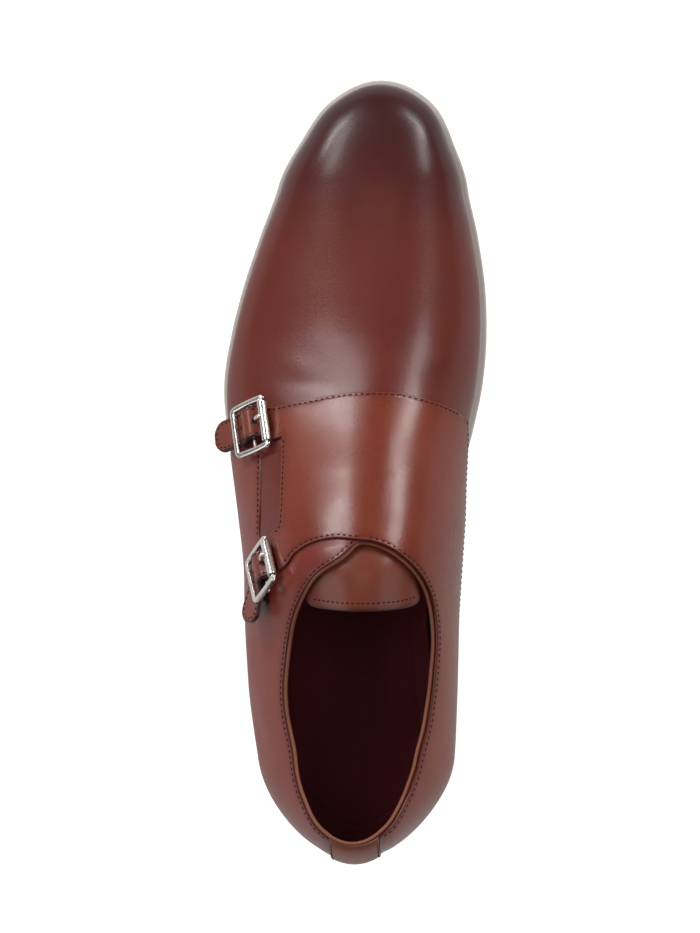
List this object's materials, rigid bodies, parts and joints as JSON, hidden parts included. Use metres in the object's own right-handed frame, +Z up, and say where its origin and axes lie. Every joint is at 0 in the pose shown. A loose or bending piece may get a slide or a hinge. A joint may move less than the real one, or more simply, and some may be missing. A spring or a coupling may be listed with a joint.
{
  "type": "double monk strap shoe",
  "caption": "Left leather monk shoe with a plain toe, a wide saddle over the instep fastened by buckled straps, and a rubber sole with a low heel.",
  "frame": {"origin": "on the floor, under the middle of the shoe's box", "axes": "+Z up from the floor; -Y towards the toe, +Y towards the heel; +X to the outer (lateral) side of the left shoe"},
  "size_m": [0.1038, 0.2986, 0.1],
  "materials": {
    "brown_leather": "burnished dark brown, semi-gloss",
    "cognac_leather": "red-brown, semi-gloss, darker at seams",
    "sock_leather": "very dark maroon, matt",
    "pale_rubber": "pale greige, matt",
    "outsole_rubber": "greige, matt",
    "polished_nickel": "polished"
  },
  "bodies": {
    "root": {"buckle_frame_front": "polished_nickel", "buckle_frame_rear": "polished_nickel", "buckle_prong_front": "polished_nickel", "buckle_prong_rear": "polished_nickel", "buckle_roller_front": "polished_nickel", "buckle_roller_rear": "polished_nickel", "buckle_tab_front": "cognac_leather", "buckle_tab_rear": "cognac_leather", "heel": "outsole_rubber", "insole": "sock_leather", "midsole": "pale_rubber", "outsole": "outsole_rubber", "strap_end_front": "cognac_leather", "strap_end_rear": "cognac_leather", "strap_panel": "cognac_leather", "tongue": "cognac_leather", "upper": "brown_leather"}
  },
  "joints": []
}
